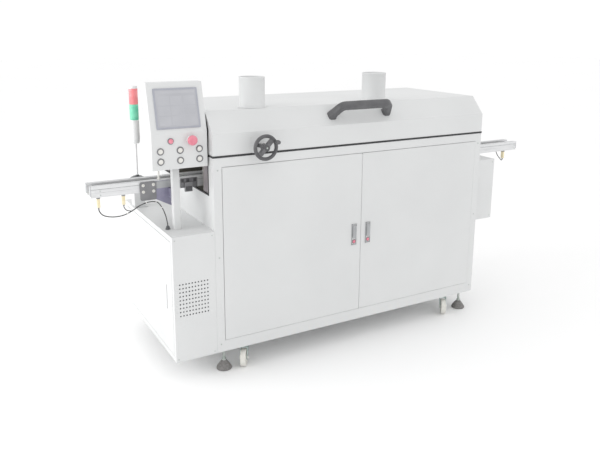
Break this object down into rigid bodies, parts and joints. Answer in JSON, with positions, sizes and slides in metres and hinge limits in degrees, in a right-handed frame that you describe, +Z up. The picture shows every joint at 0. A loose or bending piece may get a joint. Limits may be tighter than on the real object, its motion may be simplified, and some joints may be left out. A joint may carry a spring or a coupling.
{
  "type": "reflow oven",
  "caption": "Floor-standing conveyor reflow oven with a hinged lid, front doors, edge-chain conveyor set by a handwheel, control pod, tower light, exhaust stacks, levelling feet and casters.",
  "frame": {"origin": "centre of the footprint box on the floor", "axes": "+X from the infeed end to the outfeed end, +Y from the front with the doors to the back, +Z up"},
  "size_m": [2.31, 0.7968, 1.2403],
  "materials": {
    "powder_white": "fine satin powder coat",
    "stainless": "brushed",
    "heater_metal": "heat-tinted tube",
    "aluminium": "anodised extrusion",
    "dark_steel": "blackened steel",
    "zinc": "dull zinc plate",
    "charcoal_plastic": "satin moulded",
    "rubber": "matte",
    "wheel_nylon": "satin moulded",
    "red_plastic": "moulded",
    "lens_red": "ribbed translucent lens",
    "lens_green": "ribbed translucent lens",
    "lamp_white": "moulded",
    "screen_grey": "flat panel under film",
    "cap_white": "moulded",
    "cable_black": "cable sheath"
  },
  "bodies": {
    "cabinet": {"base_pan": "powder_white", "body_shell": "powder_white", "lower_chamber": "stainless", "lower_heater": "heater_metal", "infeed_box": "powder_white", "outfeed_box": "powder_white", "electrical_plate": "zinc", "conveyor_motor": "dark_steel", "front_rail": "aluminium", "front_chain": "dark_steel", "rail_bracket": "dark_steel", "pod_post": "powder_white", "pod_housing": "powder_white", "touchscreen": "screen_grey", "pilot_lamp": "red_plastic", "tower_base": "lamp_white", "tower_green": "lens_green", "tower_red": "lens_red", "foot_front_left": "rubber", "foot_front_right": "rubber", "foot_back_left": "rubber", "foot_back_right": "rubber", "sensor_lead": "cable_black", "lid_hinge_rod": "zinc", "adjust_chain": "dark_steel"},
    "lid": {"lid_shell": "powder_white", "upper_chamber": "stainless", "upper_heater": "heater_metal", "exhaust_stack_left": "powder_white", "exhaust_stack_right": "powder_white", "lid_handle": "charcoal_plastic"},
    "rear_rail": {"rear_rail": "aluminium", "rear_chain": "dark_steel"},
    "front_door_left": {"front_door_left": "powder_white"},
    "front_door_right": {"front_door_right": "powder_white"},
    "lock_lever_left": {"lock_lever_left": "zinc"},
    "lock_lever_right": {"lock_lever_right": "zinc"},
    "lock_button_left": {"lock_button_left": "red_plastic"},
    "lock_button_right": {"lock_button_right": "red_plastic"},
    "service_door": {"service_door": "powder_white"},
    "drive_shaft": {"drive_shaft": "zinc"},
    "rear_sprocket": {"rear_sprocket": "zinc"},
    "width_screw": {"width_screw": "zinc"},
    "handwheel": {"handwheel": "charcoal_plastic"},
    "handwheel_knob": {"handwheel_knob": "charcoal_plastic"},
    "emergency_stop": {"emergency_stop": "red_plastic"},
    "push_button_1": {"push_button_1": "cap_white"},
    "push_button_2": {"push_button_2": "cap_white"},
    "push_button_3": {"push_button_3": "cap_white"},
    "push_button_4": {"push_button_4": "cap_white"},
    "push_button_5": {"push_button_5": "cap_white"},
    "push_button_6": {"push_button_6": "cap_white"},
    "caster_fork_front_left": {"caster_fork_front_left": "zinc"},
    "caster_fork_front_right": {"caster_fork_front_right": "zinc"},
    "caster_fork_back_left": {"caster_fork_back_left": "zinc"},
    "caster_fork_back_right": {"caster_fork_back_right": "zinc"},
    "caster_wheel_front_left": {"caster_wheel_front_left": "wheel_nylon"},
    "caster_wheel_front_right": {"caster_wheel_front_right": "wheel_nylon"},
    "caster_wheel_back_left": {"caster_wheel_back_left": "wheel_nylon"},
    "caster_wheel_back_right": {"caster_wheel_back_right": "wheel_nylon"}
  },
  "joints": [
    {"name": "lid_hinge", "type": "hinge", "parent": "cabinet", "child": "lid", "pos_m": [0, 0.39015, 0.941], "axis": [-1, 0, 0], "range_deg": [0, 60]},
    {"name": "front_door_left_hinge", "type": "hinge", "parent": "cabinet", "child": "front_door_left", "pos_m": [-0.67825, -0.30035, 0.5235], "axis": [0, 0, -1], "range_deg": [0, 110]},
    {"name": "front_door_right_hinge", "type": "hinge", "parent": "cabinet", "child": "front_door_right", "pos_m": [0.67825, -0.30035, 0.5235], "axis": [0, 0, 1], "range_deg": [0, 110]},
    {"name": "service_door_hinge", "type": "hinge", "parent": "cabinet", "child": "service_door", "pos_m": [-0.8955, 0.35915, 0.3675], "axis": [0, 0, -1], "range_deg": [0, 110]},
    {"name": "lock_lever_left_hinge", "type": "hinge", "parent": "front_door_left", "child": "lock_lever_left", "pos_m": [-0.038, -0.30265, 0.567], "axis": [-1, 0, 0], "range_deg": [0, 45]},
    {"name": "lock_button_left_press", "type": "slide", "parent": "front_door_left", "child": "lock_button_left", "axis": [0, 1, 0], "range_m": [0, 0.003], "stiffness_N_per_m": 800},
    {"name": "lock_lever_right_hinge", "type": "hinge", "parent": "front_door_right", "child": "lock_lever_right", "pos_m": [0.038, -0.30265, 0.567], "axis": [-1, 0, 0], "range_deg": [0, 45]},
    {"name": "lock_button_right_press", "type": "slide", "parent": "front_door_right", "child": "lock_button_right", "axis": [0, 1, 0], "range_m": [0, 0.003], "stiffness_N_per_m": 800},
    {"name": "rear_rail_slide", "type": "slide", "parent": "cabinet", "child": "rear_rail", "axis": [0, 1, 0], "range_m": [-0.015, 0.255]},
    {"name": "width_screw_spin", "type": "hinge", "parent": "cabinet", "child": "width_screw", "pos_m": [-0.512, 0.00115, 0.765], "axis": [0, 1, 0], "range_deg": [-560, 9200]},
    {"name": "handwheel_spin", "type": "hinge", "parent": "cabinet", "child": "handwheel", "pos_m": [-0.512, -0.35885, 0.972], "axis": [0, 1, 0], "range_deg": [-560, 9200]},
    {"name": "handwheel_knob_spin", "type": "hinge", "parent": "handwheel", "child": "handwheel_knob", "pos_m": [-0.47173, -0.38335, 0.99525], "axis": [0, 1, 0], "continuous": true},
    {"name": "drive_shaft_spin", "type": "hinge", "parent": "cabinet", "child": "drive_shaft", "pos_m": [0.785, 0.06115, 0.8086], "axis": [0, 1, 0], "continuous": true},
    {"name": "rear_sprocket_spin", "type": "hinge", "parent": "rear_rail", "child": "rear_sprocket", "pos_m": [0.785, -0.06015, 0.8086], "axis": [0, 1, 0], "continuous": true},
    {"name": "emergency_stop_press", "type": "slide", "parent": "cabinet", "child": "emergency_stop", "axis": [0, 1, 0], "range_m": [0, 0.004], "stiffness_N_per_m": 1500},
    {"name": "push_button_1_press", "type": "slide", "parent": "cabinet", "child": "push_button_1", "axis": [0, 1, 0], "range_m": [0, 0.003], "stiffness_N_per_m": 800},
    {"name": "push_button_2_press", "type": "slide", "parent": "cabinet", "child": "push_button_2", "axis": [0, 1, 0], "range_m": [0, 0.003], "stiffness_N_per_m": 800},
    {"name": "push_button_3_press", "type": "slide", "parent": "cabinet", "child": "push_button_3", "axis": [0, 1, 0], "range_m": [0, 0.003], "stiffness_N_per_m": 800},
    {"name": "push_button_4_press", "type": "slide", "parent": "cabinet", "child": "push_button_4", "axis": [0, 1, 0], "range_m": [0, 0.003], "stiffness_N_per_m": 800},
    {"name": "push_button_5_press", "type": "slide", "parent": "cabinet", "child": "push_button_5", "axis": [0, 1, 0], "range_m": [0, 0.003], "stiffness_N_per_m": 800},
    {"name": "push_button_6_press", "type": "slide", "parent": "cabinet", "child": "push_button_6", "axis": [0, 1, 0], "range_m": [0, 0.003], "stiffness_N_per_m": 800},
    {"name": "caster_swivel_front_left", "type": "hinge", "parent": "cabinet", "child": "caster_fork_front_left", "pos_m": [-0.565, -0.24885, 0.09], "axis": [0, 0, 1], "continuous": true},
    {"name": "caster_wheel_spin_front_left", "type": "hinge", "parent": "caster_fork_front_left", "child": "caster_wheel_front_left", "pos_m": [-0.58513, -0.2787, 0.0392], "axis": [0.829, -0.5592, 0], "continuous": true},
    {"name": "caster_swivel_front_right", "type": "hinge", "parent": "cabinet", "child": "caster_fork_front_right", "pos_m": [0.565, -0.24885, 0.09], "axis": [0, 0, 1], "continuous": true},
    {"name": "caster_wheel_spin_front_right", "type": "hinge", "parent": "caster_fork_front_right", "child": "caster_wheel_front_right", "pos_m": [0.54487, -0.2787, 0.0392], "axis": [0.829, -0.5592, 0], "continuous": true},
    {"name": "caster_swivel_back_left", "type": "hinge", "parent": "cabinet", "child": "caster_fork_back_left", "pos_m": [-0.565, 0.33115, 0.09], "axis": [0, 0, 1], "continuous": true},
    {"name": "caster_wheel_spin_back_left", "type": "hinge", "parent": "caster_fork_back_left", "child": "caster_wheel_back_left", "pos_m": [-0.58513, 0.3013, 0.0392], "axis": [0.829, -0.5592, 0], "continuous": true},
    {"name": "caster_swivel_back_right", "type": "hinge", "parent": "cabinet", "child": "caster_fork_back_right", "pos_m": [0.565, 0.33115, 0.09], "axis": [0, 0, 1], "continuous": true},
    {"name": "caster_wheel_spin_back_right", "type": "hinge", "parent": "caster_fork_back_right", "child": "caster_wheel_back_right", "pos_m": [0.54487, 0.3013, 0.0392], "axis": [0.829, -0.5592, 0], "continuous": true}
  ],
  "couplings": [
    {"joint": "width_screw_spin", "follows": "rear_rail_slide", "rad_per_m": 628.32},
    {"joint": "handwheel_spin", "follows": "rear_rail_slide", "rad_per_m": 628.32},
    {"joint": "rear_sprocket_spin", "follows": "drive_shaft_spin", "ratio": 1}
  ]
}
